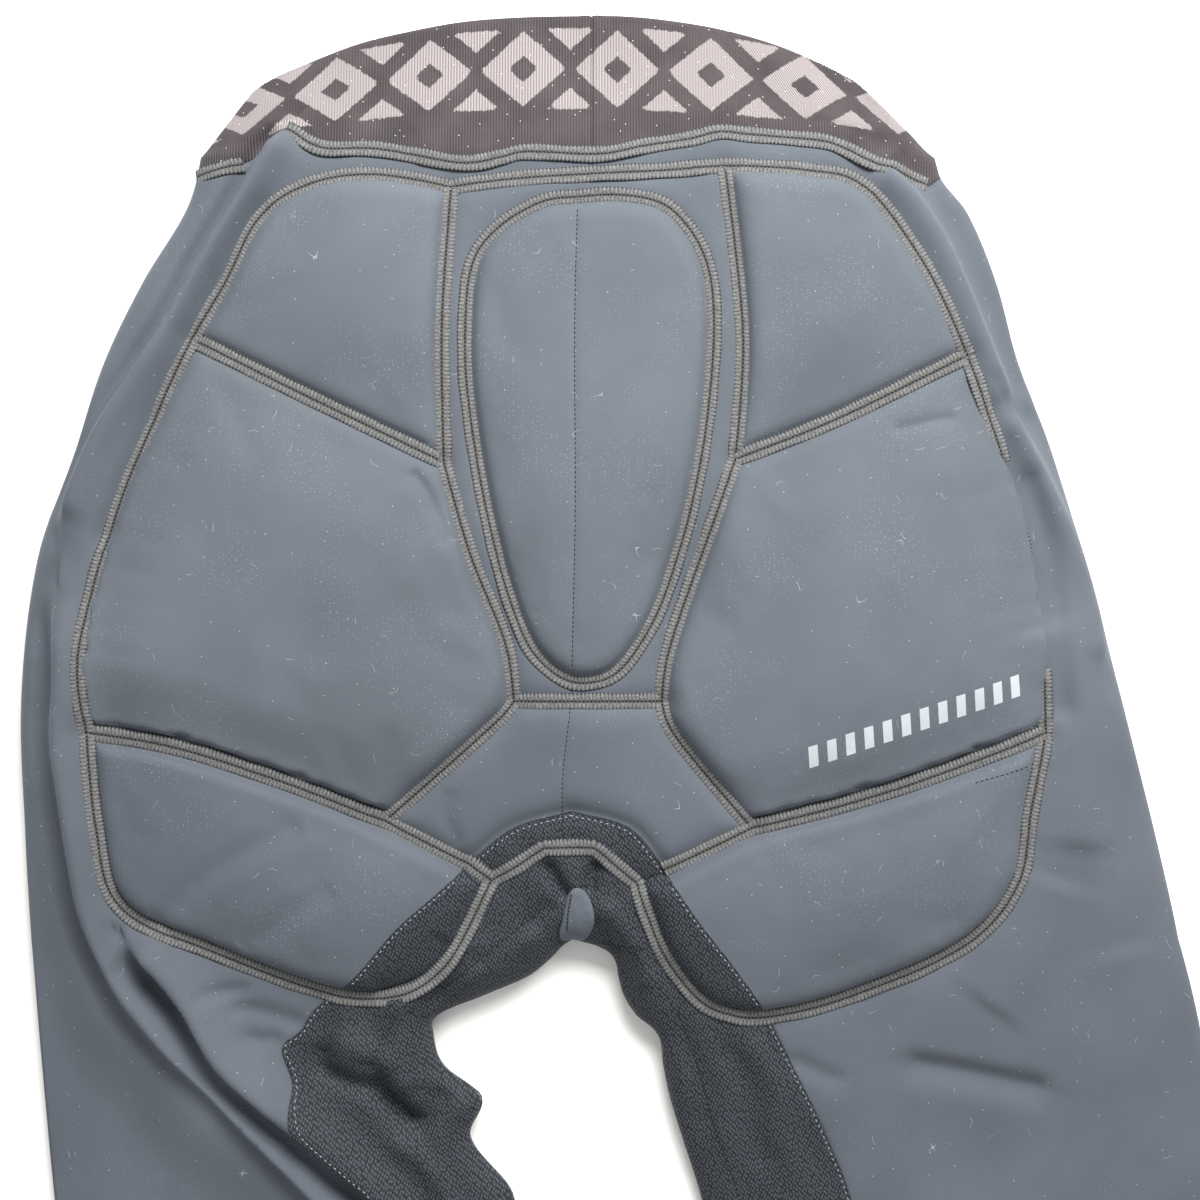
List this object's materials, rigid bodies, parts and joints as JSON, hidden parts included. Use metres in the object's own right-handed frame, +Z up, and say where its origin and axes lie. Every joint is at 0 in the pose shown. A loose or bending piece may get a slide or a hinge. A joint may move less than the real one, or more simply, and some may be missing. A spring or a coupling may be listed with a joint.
{
  "type": "padded hip protector shorts",
  "caption": "Close-fitting stretch shorts with foam pads sewn over the tailbone, hips, seat and back of the thighs, lying flat with the back up.",
  "frame": {"origin": "On the flat underside, on the centre-back line, 181 mm below the waist seam", "axes": "+Y from the legs to the waistband, +Z up from the surface it lies on, +X to the right seen from above with the waistband away"},
  "size_m": [0.4927, 0.566, 0.036],
  "materials": {
    "stretch_cloth": "matte slate-blue stretch jersey",
    "mesh_knit": "matte black textured mesh knit",
    "band_knit": "ribbed charcoal jacquard elastic",
    "pad_cloth": "matte slate-blue jersey over foam"
  },
  "bodies": {
    "root": {"waistband": "band_knit", "body_shell": "stretch_cloth", "tail_panel": "stretch_cloth", "seat_yoke": "stretch_cloth", "inner_leg_panel_left": "mesh_knit", "inner_leg_panel_right": "mesh_knit", "tailbone_pad": "pad_cloth", "upper_hip_pad_left": "pad_cloth", "upper_hip_pad_right": "pad_cloth", "seat_pad_left": "pad_cloth", "seat_pad_right": "pad_cloth", "thigh_pad_left": "pad_cloth", "thigh_pad_right": "pad_cloth"}
  },
  "joints": []
}
